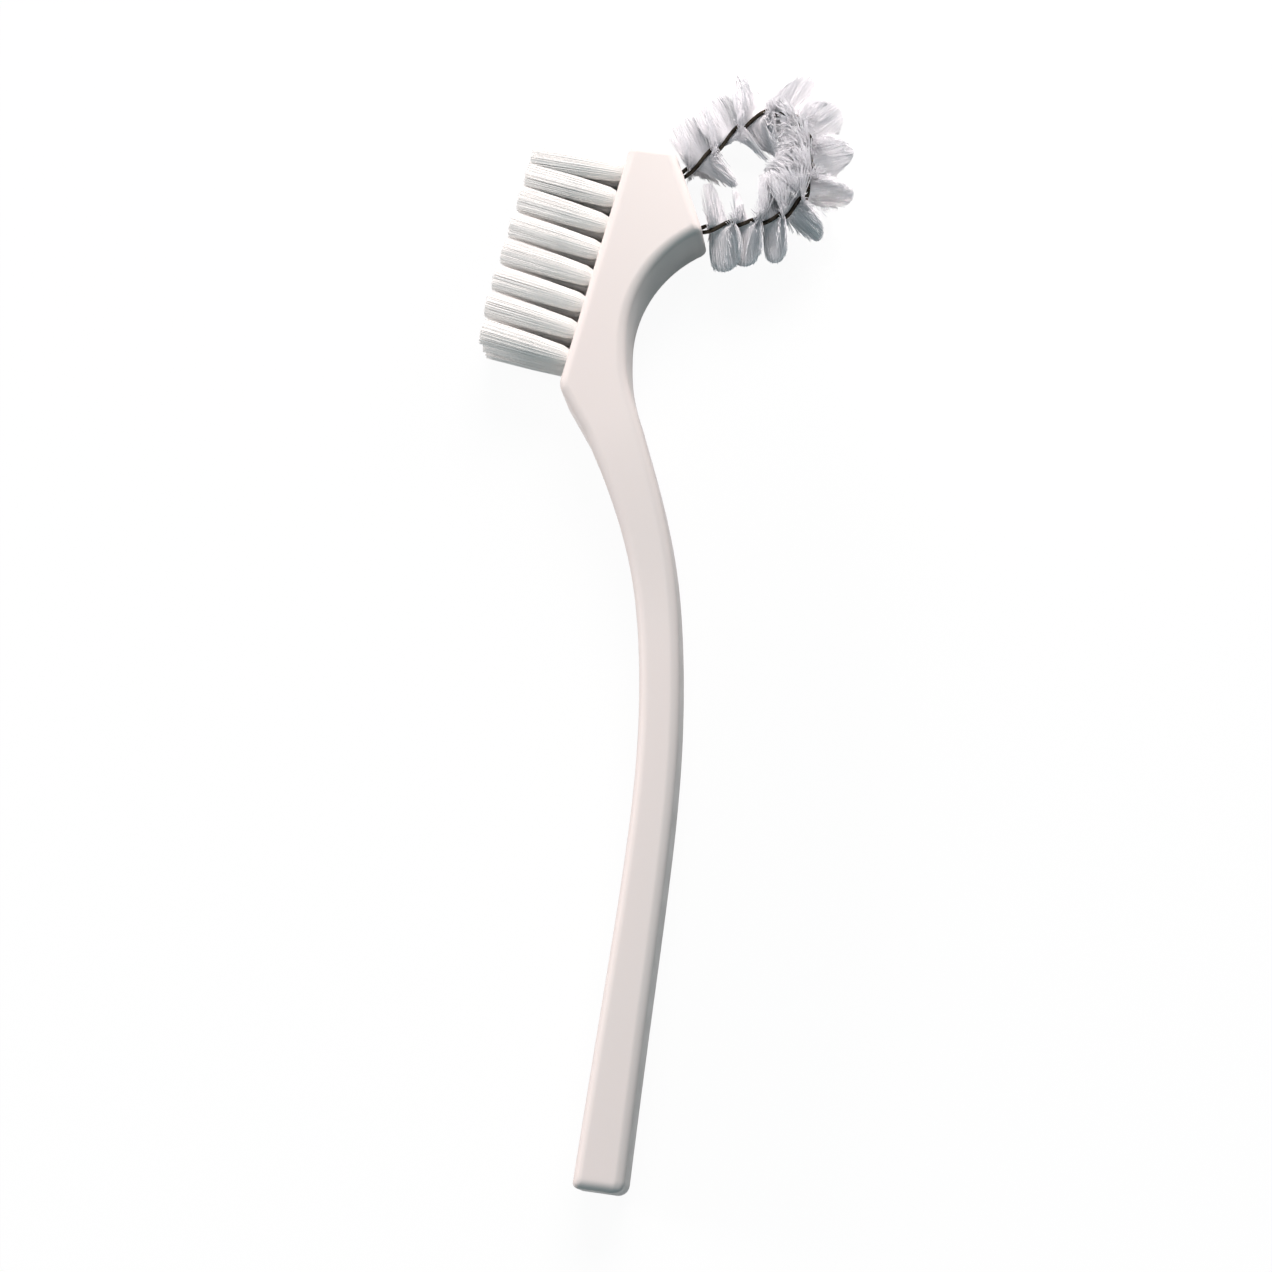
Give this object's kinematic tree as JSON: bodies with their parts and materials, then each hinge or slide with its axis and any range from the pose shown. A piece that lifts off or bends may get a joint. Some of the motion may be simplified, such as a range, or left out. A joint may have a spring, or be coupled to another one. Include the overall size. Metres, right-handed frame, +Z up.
{
  "type": "denture brush",
  "caption": "Hand brush for dentures: curved plastic handle, wide tufted head, and a looped twisted-wire brush behind the head for the inner side.",
  "frame": {"origin": "middle of the whole brush's box, on the ground that it rests on", "axes": "+Y from the butt to the head, +X to the side of the wire loop, with the tufts towards -X, and +Z up across the brush's width as it lies on its side"},
  "size_m": [0.0658, 0.1968, 0.0159],
  "materials": {
    "ivory_plastic": "satin",
    "tuft_nylon": "satin",
    "loop_nylon": "satin, slightly see-through",
    "galvanised_wire": "dull",
    "anchor_metal": "plain strip"
  },
  "bodies": {
    "root": {"handle": "ivory_plastic", "tuft_r1_c1": "tuft_nylon", "tuft_r1_c2": "tuft_nylon", "tuft_r1_c3": "tuft_nylon", "tuft_r2_c1": "tuft_nylon", "tuft_r2_c2": "tuft_nylon", "tuft_r2_c3": "tuft_nylon", "tuft_r3_c1": "tuft_nylon", "tuft_r3_c2": "tuft_nylon", "tuft_r3_c3": "tuft_nylon", "tuft_r4_c1": "tuft_nylon", "tuft_r4_c2": "tuft_nylon", "tuft_r4_c3": "tuft_nylon", "tuft_r5_c1": "tuft_nylon", "tuft_r5_c2": "tuft_nylon", "tuft_r5_c3": "tuft_nylon", "tuft_r6_c1": "tuft_nylon", "tuft_r6_c2": "tuft_nylon", "tuft_r6_c3": "tuft_nylon", "tuft_r7_c1": "tuft_nylon", "tuft_r7_c2": "tuft_nylon", "tuft_r7_c3": "tuft_nylon", "tuft_r8_c1": "tuft_nylon", "tuft_r8_c2": "tuft_nylon", "tuft_r8_c3": "tuft_nylon", "anchor_r1_c1": "anchor_metal", "anchor_r1_c2": "anchor_metal", "anchor_r1_c3": "anchor_metal", "anchor_r2_c1": "anchor_metal", "anchor_r2_c2": "anchor_metal", "anchor_r2_c3": "anchor_metal", "anchor_r3_c1": "anchor_metal", "anchor_r3_c2": "anchor_metal", "anchor_r3_c3": "anchor_metal", "anchor_r4_c1": "anchor_metal", "anchor_r4_c2": "anchor_metal", "anchor_r4_c3": "anchor_metal", "anchor_r5_c1": "anchor_metal", "anchor_r5_c2": "anchor_metal", "anchor_r5_c3": "anchor_metal", "anchor_r6_c1": "anchor_metal", "anchor_r6_c2": "anchor_metal", "anchor_r6_c3": "anchor_metal", "anchor_r7_c1": "anchor_metal", "anchor_r7_c2": "anchor_metal", "anchor_r7_c3": "anchor_metal", "anchor_r8_c1": "anchor_metal", "anchor_r8_c2": "anchor_metal", "anchor_r8_c3": "anchor_metal", "wire_a": "galvanised_wire", "wire_b": "galvanised_wire", "loop_filaments_1": "loop_nylon", "loop_filaments_2": "loop_nylon", "loop_filaments_3": "loop_nylon", "loop_filaments_4": "loop_nylon", "loop_filaments_5": "loop_nylon", "loop_filaments_6": "loop_nylon", "loop_filaments_7": "loop_nylon", "loop_filaments_8": "loop_nylon", "loop_filaments_9": "loop_nylon"}
  },
  "joints": []
}
